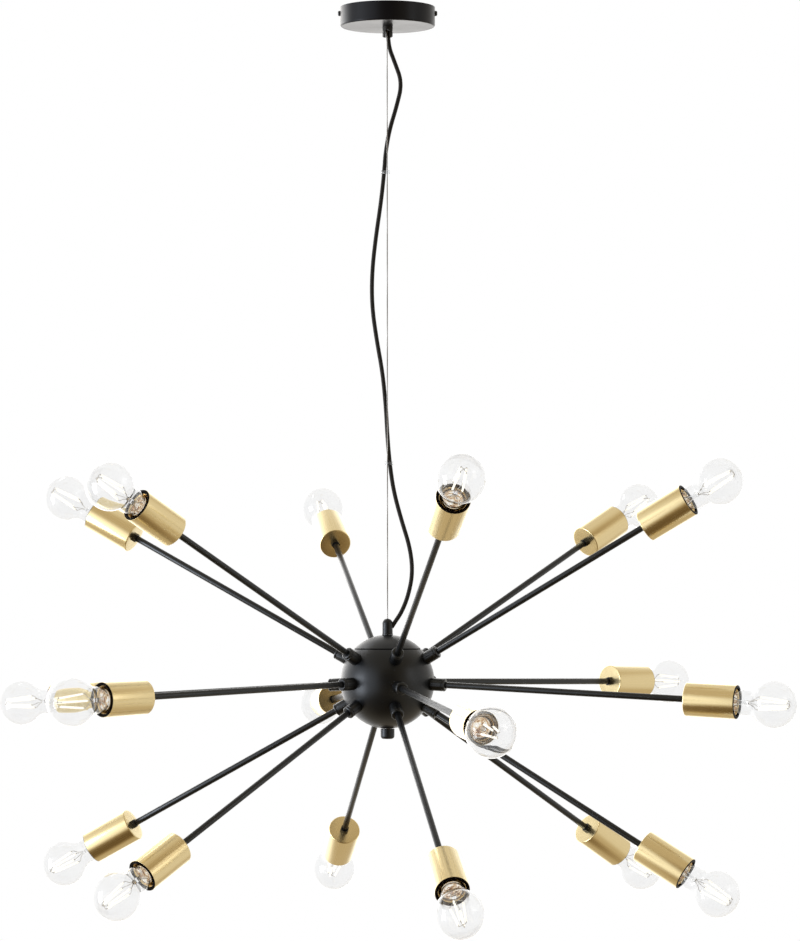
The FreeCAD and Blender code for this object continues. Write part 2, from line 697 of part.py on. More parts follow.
# centre contact: a brass leaf folded back on itself, its tongue just short of the bulb
leaf = new_body("contact_pattern")
leaf_sketch = new_sketch(leaf, "contact_profile", "XZ_Plane")
lo, tipz = S + floor, S + d("bulb_tip") - 0.4
outline(leaf_sketch, [
    (-6.5, lo), (6.5, lo), (6.5, lo + 0.6), (-4.6, lo + 0.6), (-0.8, tipz - 0.5), (2.6, tipz - 0.5),
    (3.4, tipz - 1.1), (3.8, tipz - 0.7), (3.0, tipz), (-1.2, tipz), (-6.0, lo + 0.9),
    (-6.5, lo + 0.6),
])
leaf_pad = leaf.newObject("PartDesign::Pad", "contact_pad")
leaf_pad.Profile = leaf_sketch
drive(leaf_pad, Length=5)
leaf_pad.Midplane = True
copies("lampholder_contacts", leaf, all_arms)

# ---------------------------------------------------------------- bulb cap
tip, rim = S + d("bulb_tip"), S + d("cap_rim")
crest, rootr, bore = d("cap_crest"), d("cap_root"), d("cap_bore")
cap_points = [(0, tip), (4.2, tip), (4.75, tip + 0.5), (4.75, tip + 1.3), (6.6, tip + 1.4), (11.6, tip + 4.4),
              (12.2, tip + 4.6)]
for i in range(5):
    at = tip + 5.0 + 3.6 * i
    cap_points += [(rootr, at), (rootr, at + 0.6), (crest, at + 1.5), (crest, at + 2.1), (rootr, at + 3.0)]
cap_points += [(rootr, rim - 2.4), (rootr + 0.2, rim - 1.6), (rootr + 0.2, rim - 0.4), (rootr, rim), (bore, rim),
               (bore, tip + 5.4), (0, tip + 5.4)]
cap_pattern = turned("cap_pattern", cap_points)

# ---------------------------------------------------------------- bulb glass with its stem
C, B, gw, nk, nb = (S + d("bulb_centre"), d("bulb_radius"), d("glass_wall"), d("neck_radius"),
                    d("neck_blend"))


def ball_and_neck(ball, neck, blend):
    """Where the ball meets the concave blend, and where the blend meets the neck."""
    back = leg(ball + blend, neck + blend)
    share = ball / (ball + blend)
    return (neck + blend) * share, C - back * share, C - back


bx, bz, nz = ball_and_neck(B, nk, nb)
ix, iz, _ = ball_and_neck(B - gw, nk - gw, nb + gw)
stem, stem_b, stem_t = d("stem_radius"), d("stem_bore"), S + d("stem_top")
glass_body = turned("glass_blank", [
    (9.4, rim - 9.4), (10.9, rim - 9.4), (11.7, rim - 1.4), (11.95, rim + 0.3), (13.2, rim + 1.1),
    (15.6, S + 68.5), (nk, S + 73.5), (nk, nz, nb, -1), (bx, bz, B, 1), (0, C + B),
    (0, C + B - gw, B - gw, -1), (ix, iz, nb + gw, 1), (nk - gw, nz), (nk - gw, S + 73.7),
    (14.9, S + 68.9), (12.5, rim + 1.6), (11.2, rim + 0.5), (11.0, rim - 1.2), (10.3, rim - 8.6),
    (6.4, rim - 4.4), (stem, rim + 4.0), (stem, stem_t), (0, stem_t), (0, stem_t - 1.0),
    (stem_b, stem_t - 1.0), (stem_b, rim + 4.0), (5.6, rim - 5.0),
])
vent = cylinder("stem_vent_tool", 0.6, 6, Placement(Vector(0, 0, S.value + 70), Rotation(Vector(0, 0, 1), Vector(1, 0, 0))))
glass_pattern = doc.addObject("Part::Cut", "glass_pattern")
glass_pattern.Base, glass_pattern.Tool = glass_body, vent

# ---------------------------------------------------------------- filament cage
foot_z, head_z = S + d("filament_foot"), S + d("filament_tip")
spread, close, fil = d("filament_spread").value, d("filament_close").value, d("filament_radius")


def stick(name, radius, a, b):
    obj = doc.addObject("Part::Cylinder", name)
    drive(obj, Radius=radius)
    obj.Height = (b - a).Length
    obj.Placement = Placement(a, Rotation(Vector(0, 0, 1), b - a))
    return obj


cage_parts = [cylinder("cage_bead", 2.4, 1.2, Placement(Vector(0, 0, stem_t.value + 0.02), Rotation()))]
top_hub = Vector(0, 0, head_z.value + 2.4)
for i in range(4):
    a = math.radians(45 + 90 * i)
    out = Vector(math.cos(a), math.sin(a), 0)
    foot_at = out * spread + Vector(0, 0, foot_z.value)
    head_at = out * close + Vector(0, 0, head_z.value)
    cage_parts.append(stick("filament_%d" % (i + 1), fil, foot_at, head_at))
    root_at = out * 1.2 + Vector(0, 0, stem_t.value + 0.6)
    cage_parts.append(stick("lead_%d" % (i + 1), 0.45, root_at, foot_at + (head_at - foot_at) * 0.03))
    cage_parts.append(stick("top_wire_%d" % (i + 1), 0.45, head_at - (head_at - foot_at) * 0.03, top_hub))
ball = doc.addObject("Part::Sphere", "cage_knot")
drive(ball, Radius=1.1)
ball.Placement = Placement(top_hub, Rotation())
cage_parts.append(ball)
cage = doc.addObject("Part::MultiFuse", "cage_pattern")
cage.Shapes = cage_parts

bulb_inside = doc.addObject("Part::Compound", "bulb_glass_pattern")
bulb_inside.Links = [glass_pattern, cage]

for arm, place in arm_places.items():
    copies("bulb_%s_cap" % arm, cap_pattern, [place])
    copies("bulb_%s_glass" % arm, bulb_inside, [place])

doc.recompute()

# ---------------------------------------------------------------- checks and files
bad = []
for obj in doc.Objects:
    states = [s for s in obj.State if s in ("Invalid", "Error")]
    if states:
        bad.append("%s (%s): %s" % (obj.Name, obj.Label, ", ".join(states)))
expected = {"arm_collars": 18, "arm_tubes": 18, "arm_inner_nuts": 18, "sleeve_locknuts": 18,
            "socket_sleeves": 18, "lampholder_bodies": 18, "lampholder_shells": 18,
            "lampholder_contacts": 18, "canopy_side_screws": 2, "cord_clips": 2}
for name, obj in nodes.items():
    shape = obj.Shape
    if shape.isNull() or not shape.isValid() or not shape.Solids:
        bad.append("%s: null, not valid or no solid" % name)
        continue
    want = expected.get(name, 2 if name.endswith("_glass") else 1)
    if len(shape.Solids) != want:
        bad.append("%s: %d solids, not %d" % (name, len(shape.Solids), want))
    if min(s.Volume for s in shape.Solids) <= 0:
        bad.append("%s: a solid with no volume" % name)
if bad:
    raise RuntimeError("; ".join(bad))

os.makedirs("parts", exist_ok=True)
for name, obj in nodes.items():
    obj.Shape.exportStep("parts/%s.step" % name)
    box = obj.Shape.BoundBox
    print("%-22s %8.1f mm3  %d  x %.1f..%.1f  y %.1f..%.1f  z %.1f..%.1f" % (
        name, obj.Shape.Volume, len(obj.Shape.Solids), box.XMin, box.XMax, box.YMin, box.YMax,
        box.ZMin, box.ZMax))
print(len(nodes), "nodes")
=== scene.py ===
import bpy
import bmesh
import math
from mathutils import Matrix, Vector


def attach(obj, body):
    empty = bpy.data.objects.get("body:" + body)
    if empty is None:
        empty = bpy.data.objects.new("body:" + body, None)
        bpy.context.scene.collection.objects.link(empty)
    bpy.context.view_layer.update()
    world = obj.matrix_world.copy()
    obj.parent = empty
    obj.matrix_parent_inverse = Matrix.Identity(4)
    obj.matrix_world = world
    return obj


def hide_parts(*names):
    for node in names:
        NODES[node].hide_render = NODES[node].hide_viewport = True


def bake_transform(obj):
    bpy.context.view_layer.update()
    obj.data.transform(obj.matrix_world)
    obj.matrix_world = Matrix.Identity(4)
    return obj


# Sputnik chandelier, in metres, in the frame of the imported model: origin on the ceiling at the
# centre of the bracket, +Z up, -Y to the front, +X to the right.

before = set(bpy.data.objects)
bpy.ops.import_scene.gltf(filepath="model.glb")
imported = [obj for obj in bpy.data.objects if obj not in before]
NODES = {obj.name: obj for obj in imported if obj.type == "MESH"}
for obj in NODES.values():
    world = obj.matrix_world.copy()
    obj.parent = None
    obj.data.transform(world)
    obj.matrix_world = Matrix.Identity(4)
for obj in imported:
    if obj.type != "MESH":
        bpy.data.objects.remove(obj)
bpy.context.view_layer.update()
MM = 0.001
HUB = Vector((0.0, 0.0, -0.8593))
UP = Vector((0.0, 0.0, 1.0))
SEAM_HEIGHT = -0.8593 + 0.0416

ARMS = [
    ("top_15", 11.3, 29.0), ("top_75", 70.0, 29.8), ("top_135", 131.1, 27.5),
    ("top_195", 191.9, 27.4), ("top_255", 251.8, 28.2), ("top_315", 311.5, 28.4),
    ("mid_15", 13.9, -5.6), ("mid_75", 70.6, -2.8), ("mid_135", 131.1, -0.6),
    ("mid_195", 191.1, -4.5), ("mid_255", 253.0, -3.4), ("mid_315", 312.1, -2.0),
    ("low_15", 11.4, -31.4), ("low_75", 69.7, -30.8), ("low_135", 129.1, -30.2),
    ("low_195", 190.2, -31.6), ("low_255", 252.4, -28.3), ("low_315", 312.2, -29.9),
]


def direction(azimuth, elevation):
    a, e = math.radians(azimuth), math.radians(elevation)
    return Vector((math.sin(a) * math.cos(e), -math.cos(a) * math.cos(e), math.sin(e)))


def arm_matrix(azimuth, elevation):
    turn = UP.rotation_difference(direction(azimuth, elevation)).to_matrix().to_4x4()
    return Matrix.Translation(HUB) @ turn


PLACES = {name: arm_matrix(az, el) for name, az, el in ARMS}

# ------------------------------------------------------------------ camera
camera_data = bpy.data.cameras.new("photo_camera")
camera = bpy.data.objects.new("photo_camera", camera_data)
bpy.context.scene.collection.objects.link(camera)
camera.location = (0.01565, -4.9461, -0.76867)
camera.rotation_mode = "XYZ"
camera.rotation_euler = (math.radians(90 + 2.053), 0.0, math.radians(-0.002))
camera_data.sensor_width = 36.0
camera_data.lens = 3896.4 * 36.0 / 941.0
camera_data.clip_start, camera_data.clip_end = 0.1, 60.0
bpy.context.scene.camera = camera


# ------------------------------------------------------------------ materials
def new_material(name):
    m = bpy.data.materials.new(name)
    m.use_nodes = True
    tree = m.node_tree
    return m, tree, tree.nodes["Principled BSDF"]


def add(tree, kind, **values):
    n = tree.nodes.new(kind)
    for key, value in values.items():
        if hasattr(n, key):
            setattr(n, key, value)
        else:
            n.inputs[key].default_value = value
    return n


def spread(tree, fac, low, high):
    """A value socket 0..1 mapped to low..high."""
    n = tree.nodes.new("ShaderNodeMapRange")
    tree.links.new(fac, n.inputs["Value"])
    n.inputs["To Min"].default_value = low
    n.inputs["To Max"].default_value = high
    return n.outputs["Result"]


def colour_ramp(tree, fac, stops):
    n = tree.nodes.new("ShaderNodeValToRGB")
    tree.links.new(fac, n.inputs["Fac"])
    ramp = n.color_ramp
    while len(ramp.elements) < len(stops):
        ramp.elements.new(0.5)
    for element, (at, colour) in zip(ramp.elements, stops):
        element.position = at
        element.color = (*colour, 1.0)
    return n.outputs["Color"]


def noise(tree, vector, scale, detail=3.0, rough=0.5):
    n = tree.nodes.new("ShaderNodeTexNoise")
    if vector is not None:
        tree.links.new(vector, n.inputs["Vector"])
    n.inputs["Scale"].default_value = scale
    n.inputs["Detail"].default_value = detail
    n.inputs["Roughness"].default_value = rough
    return n.outputs["Fac"]


def coordinates(tree, kind="Object", scale=(1, 1, 1)):
    c = tree.nodes.new("ShaderNodeTexCoord")
    m = tree.nodes.new("ShaderNodeMapping")
    m.inputs["Scale"].default_value = scale
    tree.links.new(c.outputs[kind], m.inputs["Vector"])
    return m.outputs["Vector"]


def bump(tree, shader, height, strength, distance):
    n = tree.nodes.new("ShaderNodeBump")
    n.inputs["Strength"].default_value = strength
    n.inputs["Distance"].default_value = distance
    tree.links.new(height, n.inputs["Height"])
    tree.links.new(n.outputs["Normal"], shader.inputs["Normal"])
    return n


def powder_coat(name, low, high, rough, shine=0.5, depth=0.0, grain=2400.0, line=None):
    """Fine-grained satin black paint.  line is the height of a painted shade line at a joint: near that height the
    paint loses its reflection, standing in for the shadow in the gap.
    """
    m, t, p = new_material(name)
    at = coordinates(t)
    cloud = noise(t, at, 22.0, 3.0)
    fine = noise(t, at, grain, 2.0)
    t.links.new(colour_ramp(t, cloud, [(0.3, low), (0.72, high)]), p.inputs["Base Color"])
    t.links.new(spread(t, cloud, rough - 0.05, rough + 0.06), p.inputs["Roughness"])
    p.inputs["Specular IOR Level"].default_value = shine
    p.inputs["Specular Tint"].default_value = (0.82, 0.89, 1.0, 1.0)
    # painted shade: a band round the given height with no reflection, for the shadow in the joint gap
    if line is not None:
        split = t.nodes.new("ShaderNodeSeparateXYZ")
        t.links.new(coordinates(t), split.inputs[0])
        away = add(t, "ShaderNodeMath", operation="SUBTRACT")
        t.links.new(split.outputs["Z"], away.inputs[0])
        away.inputs[1].default_value = line
        size = add(t, "ShaderNodeMath", operation="ABSOLUTE")
        t.links.new(away.outputs[0], size.inputs[0])
        painted_seam_shade = spread(t, size.outputs[0], 0.0, shine)
        painted_seam_shade.node.inputs["From Min"].default_value = 0.00055
        painted_seam_shade.node.inputs["From Max"].default_value = 0.00090
        t.links.new(painted_seam_shade, p.inputs["Specular IOR Level"])
    if depth:
        bump(t, p, fine, 0.25, depth)
    return m


def brushed_metal(name, low, high, rough, along=(260.0, 3.0, 1.0), depth=0.00002, kind="UV",
                  coat=0.0, tint=None):
    """Metal with fine lines.  In UV, u runs round the piece and v along it."""
    m, t, p = new_material(name)
    at = coordinates(t, kind, along)
    lines = noise(t, at, 1.0, 4.0, 0.62)
    cloud = noise(t, coordinates(t), 14.0, 2.0)
    t.links.new(colour_ramp(t, lines, [(0.28, low), (0.72, high)]), p.inputs["Base Color"])
    mix = t.nodes.new("ShaderNodeMath")
    mix.operation = "MULTIPLY_ADD"
    t.links.new(lines, mix.inputs[0])
    mix.inputs[1].default_value = 0.10
    t.links.new(spread(t, cloud, rough - 0.08, rough), mix.inputs[2])
    t.links.new(mix.outputs[0], p.inputs["Roughness"])
    p.inputs["Metallic"].default_value = 1.0
    if tint:
        p.inputs["Specular Tint"].default_value = (*tint, 1.0)
    p.inputs["Coat Weight"].default_value = coat
    p.inputs["Coat Roughness"].default_value = 0.22
    p.inputs["Coat IOR"].default_value = 1.55
    bump(t, p, lines, 0.3, depth)
    return m


def moulded(name, low, high, rough, grain=700.0, depth=0.00002, shine=0.5):
    m, t, p = new_material(name)
    at = coordinates(t)
    cloud = noise(t, at, 60.0, 2.0)
    t.links.new(colour_ramp(t, cloud, [(0.3, low), (0.7, high)]), p.inputs["Base Color"])
    t.links.new(spread(t, noise(t, at, 180.0, 2.0), rough - 0.05, rough + 0.07), p.inputs["Roughness"])
    p.inputs["Specular IOR Level"].default_value = shine
    bump(t, p, noise(t, at, grain, 2.0), 0.25, depth)
    return m


def clear(name, tint, ior, rough=0.0):
    m, t, p = new_material(name)
    p.inputs["Base Color"].default_value = (*tint, 1.0)
    p.inputs["Transmission Weight"].default_value = 1.0
    p.inputs["Roughness"].default_value = rough
    p.inputs["IOR"].default_value = ior
    return m


black_paint = powder_coat("black_powder_coat", (0.0025, 0.0035, 0.005), (0.005, 0.006, 0.0075), 0.31, 0.6, 0.0)
# the hub coat carries a painted shade line at the lid seam
hub_paint = powder_coat("black_hub_coat", (0.0008, 0.0016, 0.0032), (0.0018, 0.0028, 0.0045), 0.36, 0.50, 0.000004, line=SEAM_HEIGHT)
canopy_paint = powder_coat("black_canopy_coat", (0.0045, 0.0046, 0.0066), (0.0065, 0.0064, 0.0088), 0.335, 0.2, 0.0)
brass = brushed_metal("satin_brass", (0.77, 0.645, 0.365), (0.85, 0.728, 0.435), 0.25, coat=0.15)
bright_brass = brushed_metal("contact_brass", (0.72, 0.52, 0.24), (0.82, 0.62, 0.32), 0.22, (40.0, 40.0, 40.0), kind="Object")
nickel = brushed_metal("nickel_cap", (0.66, 0.62, 0.55), (0.80, 0.77, 0.70), 0.18, (120.0, 120.0, 120.0), 0.00001, "Object")
zinc = brushed_metal("zinc_steel", (0.52, 0.53, 0.54), (0.66, 0.66, 0.67), 0.34, (300.0, 40.0, 300.0), 0.00002, "Object")
wire_steel = brushed_metal("wire_steel", (0.28, 0.28, 0.285), (0.40, 0.40, 0.405), 0.45, (500.0, 500.0, 60.0), 0.00001, "Object")
resin = moulded("black_resin", (0.0035, 0.0022, 0.0018), (0.006, 0.0035, 0.0025), 0.45, shine=0.3)
resin.node_tree.nodes["Principled BSDF"].inputs["IOR"].default_value = 1.12
nylon = moulded("black_nylon", (0.008, 0.008, 0.008), (0.013, 0.013, 0.013), 0.42, shine=0.35)
white_plastic = moulded("white_plastic", (0.74, 0.74, 0.71), (0.82, 0.82, 0.80), 0.36)
clear_glass = clear("clear_glass", (0.950, 0.952, 0.954), 1.46)
clear_plastic = clear("clear_plastic", (0.94, 0.95, 0.96), 1.45, 0.12)

# cable sheath: dull black with a faint length-wise drawing
cable_black, ct, cp = new_material("cable_sheath")
cable_at = coordinates(ct, "UV", (60.0, 900.0, 1.0))
ct.links.new(colour_ramp(ct, noise(ct, cable_at, 1.0, 3.0), [(0.3, (0.006, 0.006, 0.0065)), (0.7, (0.010, 0.010, 0.0105))]),
             cp.inputs["Base Color"])
ct.links.new(spread(ct, noise(ct, cable_at, 2.0, 2.0), 0.42, 0.55), cp.inputs["Roughness"])
cp.inputs["Specular IOR Level"].default_value = 0.22
bump(ct, cp, noise(ct, cable_at, 1.5, 2.0), 0.2, 0.00004)

# filament rods: warm white phosphor on a glass strip, with a faint painted glow
filament_painted_glow, pt, pp = new_material("filament_strip_painted_glow")
ph = noise(pt, coordinates(pt), 900.0, 3.0)
pt.links.new(colour_ramp(pt, ph, [(0.3, (0.95, 0.90, 0.78)), (0.7, (0.98, 0.96, 0.88))]), pp.inputs["Base Color"])
pt.links.new(spread(pt, ph, 0.5, 0.7), pp.inputs["Roughness"])
# painted glow: the strips give off a little light though the bulbs are not lit, so they don't show dark through the
# glass
pp.inputs["Emission Color"].default_value = (1.0, 0.96, 0.86, 1.0)
pp.inputs["Emission Strength"].default_value = 0.55
bump(pt, pp, ph, 0.3, 0.00004)

# the foot of the cap as it shows through the glass: brown cement with bright flecks, lifted a little by a painted glow
# because so much glass lies in front of it; the bright flecks are painted glints standing in for reflections inside the
# mouth
cement_painted_glow, mt, mp = new_material("basing_cement_painted_glow")
fleck_glints = noise(mt, coordinates(mt, "Object", (1.0, 1.0, 1.6)), 150.0, 2.0, 0.55)
cement_and_glow_colour = colour_ramp(mt, fleck_glints, [(0.37, (0.20, 0.09, 0.04)), (0.46, (0.52, 0.31, 0.16)), (0.54, (0.84, 0.71, 0.47)),
                                         (0.62, (1.0, 1.0, 0.96))])
mt.links.new(cement_and_glow_colour, mp.inputs["Base Color"])
# painted glow: the cement gives off light in its own colours, brightest on the white flecks, though it is no lamp
mt.links.new(cement_and_glow_colour, mp.inputs["Emission Color"])
mp.inputs["Emission Strength"].default_value = 0.72
mt.links.new(spread(mt, fleck_glints, 0.6, 0.3), mp.inputs["Roughness"])
bump(mt, mp, fleck_glints, 0.3, 0.00008)
lead_metal = brushed_metal("lead_wire", (0.46, 0.43, 0.39), (0.60, 0.57, 0.52), 0.40, (300.0, 300.0, 300.0), 0.00001, "Object")


# ------------------------------------------------------------------ mesh helpers
def filleted(points, steps=4):
    """Rounds the corners of a closed outline.  Each point is (radius, height, fillet)."""
    out = []
    count = len(points)
    for i, p in enumerate(points):
        here = Vector((p[0], p[1]))
        f = p[2] if len(p) > 2 else 0.0
        if f <= 0:
            out.append((here.x, here.y))
            continue
        before = Vector(points[i - 1][:2]) - here
        after = Vector(points[(i + 1) % count][:2]) - here
        cut = min(f, 0.45 * before.length, 0.45 * after.length)
        a, b = here + before.normalized() * cut, here + after.normalized() * cut
        for k in range(steps + 1):
            s = k / steps
            q = a.lerp(here, s).lerp(here.lerp(b, s), s)
            out.append((q.x, q.y))
    return out


def arc(centre, radius, start, stop, steps):
    """Points of an arc in (radius, height), angles in degrees from the +radius axis."""
    return [(centre[0] + radius * math.cos(math.radians(start + (stop - start) * i / steps)),
             centre[1] + radius * math.sin(math.radians(start + (stop - start) * i / steps)))
            for i in range(steps + 1)]


def turn_into(bm, outline, segments, place, closed=True, shift=0.0, material=0):
    """Revolves an outline of (radius, height) in mm about Z and adds it at place, with UVs in
    which u runs round and v along the outline."""
    uv = bm.loops.layers.uv.verify()
    runs = [0.0]
    ring_points = list(outline)
    count = len(ring_points)
    for i in range(count):
        a, b = ring_points[i], ring_points[(i + 1) % count]
        runs.append(runs[-1] + math.hypot(b[0] - a[0], b[1] - a[1]))
    rings = []
    for r, z in ring_points:
        if r < 1e-6:
            rings.append([bm.verts.new(place @ Vector((0, 0, z * MM)))] * segments)
            continue
        rings.append([bm.verts.new(place @ Vector((r * MM * math.cos(2 * math.pi * k / segments),
                                                   r * MM * math.sin(2 * math.pi * k / segments), z * MM)))
                      for k in range(segments)])
    last = count if closed else count - 1
    area = sum(a[0] * b[1] - b[0] * a[1] for a, b in zip(ring_points, ring_points[1:] + ring_points[:1]))
    for i in range(last):
        lower, upper = rings[i], rings[(i + 1) % count]
        for k in range(segments):
            n = (k + 1) % segments
            corners = [(lower[k], k, runs[i]), (lower[n], k + 1, runs[i]),
                       (upper[n], k + 1, runs[i + 1]), (upper[k], k, runs[i + 1])]
            unique, seen = [], set()
            for c in corners:
                if c[0] not in seen:
                    unique.append(c)
                    seen.add(c[0])
            if len(unique) < 3:
                continue
            if area < 0:
                unique.reverse()
            face = bm.faces.new([c[0] for c in unique])
            face.smooth = True
            face.material_index = material
            for loop, c in zip(face.loops, unique):
                loop[uv].uv = (c[1] / segments + shift, c[2] * MM)


def tube_into(bm, path, radius, sides, material=0, caps=True, twist=None):
    """A round tube along a list of points, with a frame that doesn't spin.  radius may be a list."""
    uv = bm.loops.layers.uv.verify()
    path = [Vector(p) for p in path]
    radii = radius if isinstance(radius, (list, tuple)) else [radius] * len(path)
    tangents = []
    for i in range(len(path)):
        a, b = path[max(i - 1, 0)], path[min(i + 1, len(path) - 1)]
        tangents.append((b - a).normalized())
    start = Vector((1, 0, 0)) if abs(tangents[0].x) < 0.9 else Vector((0, 1, 0))
    side = (start - tangents[0] * start.dot(tangents[0])).normalized()
    rings, run = [], 0.0
    runs = []
    for i, p in enumerate(path):
        if i:
            side = (side - tangents[i] * side.dot(tangents[i])).normalized()
            run += (p - path[i - 1]).length
        runs.append(run)
        other = tangents[i].cross(side)
        rings.append([bm.verts.new(p + (side * math.cos(2 * math.pi * k / sides)
                                        + other * math.sin(2 * math.pi * k / sides)) * radii[i])
                      for k in range(sides)])
    for i in range(len(path) - 1):
        for k in range(sides):
            n = (k + 1) % sides
            face = bm.faces.new([rings[i][k], rings[i][n], rings[i + 1][n], rings[i + 1][k]])
            face.smooth = True
            face.material_index = material
            for loop, (u, v) in zip(face.loops, [(k, i), (k + 1, i), (k + 1, i + 1), (k, i + 1)]):
                loop[uv].uv = (u / sides, runs[v])
    if caps:
        for ring, flip in ((rings[0], True), (rings[-1], False)):
            face = bm.faces.new(list(reversed(ring)) if flip else ring)
            face.smooth = False
            face.material_index = material


def ball_into(bm, centre, radius, segments=14, rings=8, material=0, stretch=1.0, axis=UP):
    turn = UP.rotation_difference(axis).to_matrix().to_4x4()
    outline = [(radius / MM * math.sin(math.pi * i / rings), -radius / MM * stretch * math.cos(math.pi * i / rings))
               for i in range(rings + 1)]
    outline[0], outline[-1] = (0.0, outline[0][1]), (0.0, outline[-1][1])
    turn_into(bm, outline, segments, Matrix.Translation(centre) @ turn, closed=False, material=material)


def finish_mesh(bm, name, materials, sharp=35.0, outward=True):
    if outward:
        bmesh.ops.recalc_face_normals(bm, faces=bm.faces)
    mesh = bpy.data.meshes.new(name)
    bm.to_mesh(mesh)
    bm.free()
    for m in materials:
        mesh.materials.append(m)
    mesh.set_sharp_from_angle(angle=math.radians(sharp))
    return mesh


def piece(name, mesh):
    obj = bpy.data.objects.new(name, mesh)
    bpy.context.scene.collection.objects.link(obj)
    return obj


def paint(node, material):
    obj = NODES[node]
    obj.data.materials.clear()
    obj.data.materials.append(material)


# ------------------------------------------------------------------ cable, wire and clips
CABLE_ROUTE = [
    (0.6, 1.8, 829.0), (0.6, 2.0, 811.0), (8.8, 4.2, 790.0), (18.6, 5.6, 763.0),
    (11.2, 5.2, 732.0), (2.4, 4.6, 703.0), (-2.8, 4.2, 673.0), (-4.4, 1.6, 648.0),
    (-8.4, 0.4, 610.0), (-14.9, 0.8, 566.0), (-19.8, 1.6, 522.0), (-20.0, 2.4, 478.0),
    (-14.2, 3.0, 436.0), (-6.4, 3.2, 393.0), (-2.2, 3.4, 350.0), (-0.2, 3.5, 311.0),
    (2.7, 2.2, 277.0), (7.6, 1.6, 242.0), (17.6, 1.2, 205.0), (28.6, 0.8, 170.0),
    (32.0, 0.4, 138.5), (26.6, 0.0, 110.0), (18.0, 0.0, 88.2), (8.9, 0.0, 74.9),
    (5.2, 0.0, 68.9),
]
WIRE_TOP = Vector((-0.6, -1.6, -30.3)) * MM
WIRE_LOW = Vector((0.0, 0.0, -785.3)) * MM


def followed(name, points, resolution=8):
    """The smooth line that a NURBS spline draws through its control points."""
    curve = bpy.data.curves.new(name, "CURVE")
    curve.dimensions = "3D"
    spline = curve.splines.new("NURBS")
    spline.points.add(len(points) - 1)
    for slot_point, p in zip(spline.points, points):
        slot_point.co = (p[0], p[1], p[2], 1.0)
    spline.order_u = 3
    spline.use_endpoint_u = True
    spline.resolution_u = resolution
    holder = bpy.data.objects.new(name, curve)
    bpy.context.scene.collection.objects.link(holder)
    bpy.context.view_layer.update()
    line = bpy.data.meshes.new_from_object(holder)
    out = [v.co.copy() for v in line.vertices]
    bpy.data.objects.remove(holder)
    bpy.data.curves.remove(curve)
    bpy.data.meshes.remove(line)
    return out


def length_of(points):
    return sum((b - a).length for a, b in zip(points, points[1:]))


cable_line = followed("cable_line", [Vector(p) * MM + HUB for p in CABLE_ROUTE], 10)
bm = bmesh.new()
tube_into(bm, cable_line, 0.0027, 20)
cable = piece("power_cable", finish_mesh(bm, "power_cable", [cable_black]))
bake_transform(cable)
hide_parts("power_cord")

# steel wire: one core and six outer strands laid round it
wire_line = followed("wire_line", [WIRE_TOP.lerp(WIRE_LOW, s) for s in (0, 0.3, 0.7, 1)], 16)
along = (WIRE_LOW - WIRE_TOP).normalized()
across = along.cross(Vector((0, 1, 0))).normalized()
other = along.cross(across)
bm = bmesh.new()
LAY, STRAND, RING = 0.0115, 0.00024, 0.00050
wire_length = (WIRE_LOW - WIRE_TOP).length
steps = 560
tube_into(bm, [WIRE_TOP.lerp(WIRE_LOW, i / 40) for i in range(41)], 0.00034, 8)
for strand in range(6):
    pts = []
    for i in range(steps + 1):
        s = i / steps
        a = 2 * math.pi * (strand / 6 + s * wire_length / LAY)
        pts.append(WIRE_TOP.lerp(WIRE_LOW, s) + (across * math.cos(a) + other * math.sin(a)) * RING)
    tube_into(bm, pts, STRAND, 6)
wire = piece("hanging_wire", finish_mesh(bm, "hanging_wire", [wire_steel]))
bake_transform(wire)
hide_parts("suspension_wire")


def clip_band(bm, height):
    """A clear band round the wire and the cable, with rounded rims."""
    z = height * MM + HUB.z
    s = (z - WIRE_LOW.z) / (WIRE_TOP.z - WIRE_LOW.z)
    wire_at = WIRE_LOW.lerp(WIRE_TOP, s)
    near = min((Vector(p) * MM + HUB for p in CABLE_ROUTE), key=lambda p: abs(p.z - z))
    a = Vector((near.x, near.y, z))
    b = Vector((wire_at.x, wire_at.y, z))
    way = (b - a)
    span = way.length + (0.75 - 2.7 + 0.25) * MM
    way.normalize()
    side = UP.cross(way)
    inner, wall, high = 3.42 * MM, 0.95 * MM, 4.2 * MM
    section = []
    for lift, out in ((-0.5, 0.12), (-0.42, 0.0), (0.42, 0.0), (0.5, 0.12), (0.5, 0.88), (0.42, 1.0),
                      (-0.42, 1.0), (-0.5, 0.88)):
        section.append((lift * high, inner + wall * out))
    rings = []
    turns = 40
    for k in range(turns):
        t = 2 * math.pi * k / turns
        centre = a if math.cos(t) < 0 else a + way * span
        if abs(math.cos(t)) < 1e-9:
            centre = a
        ray = way * math.cos(t) + side * math.sin(t)
        rings.append([bm.verts.new(centre + ray * r + UP * h) for h, r in section])
    n = len(section)
    for k in range(turns):
        lower, upper = rings[k], rings[(k + 1) % turns]
        for i in range(n):
            j = (i + 1) % n
            face = bm.faces.new([lower[i], lower[j], upper[j], upper[i]])
            face.smooth = True


bm = bmesh.new()
for clip_height in (648.0, 277.0):
    clip_band(bm, clip_height)
clips = piece("cable_clip_bands", finish_mesh(bm, "cable_clip_bands", [clear_plastic], 40))
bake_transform(clips)
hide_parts("cord_clips")

# ------------------------------------------------------------------ arms
SEG = 72
S = 392.0

sleeve_outline = filleted([
    (4.05, S, 0.15), (21.0, S, 1.5), (21.0, S + 64.0, 0.18), (20.0, S + 64.0, 0.18),
    (20.0, S + 1.0, 0.5), (4.05, S + 1.0, 0.15)], 6)
bm = bmesh.new()
for i, (name, _, _) in enumerate(ARMS):
    turn_into(bm, sleeve_outline, 96, PLACES[name], shift=0.37 * i)
sleeves = piece("brass_sleeves", finish_mesh(bm, "brass_sleeves", [brass], 50))
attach(sleeves, "fixture")
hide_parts("socket_sleeves")

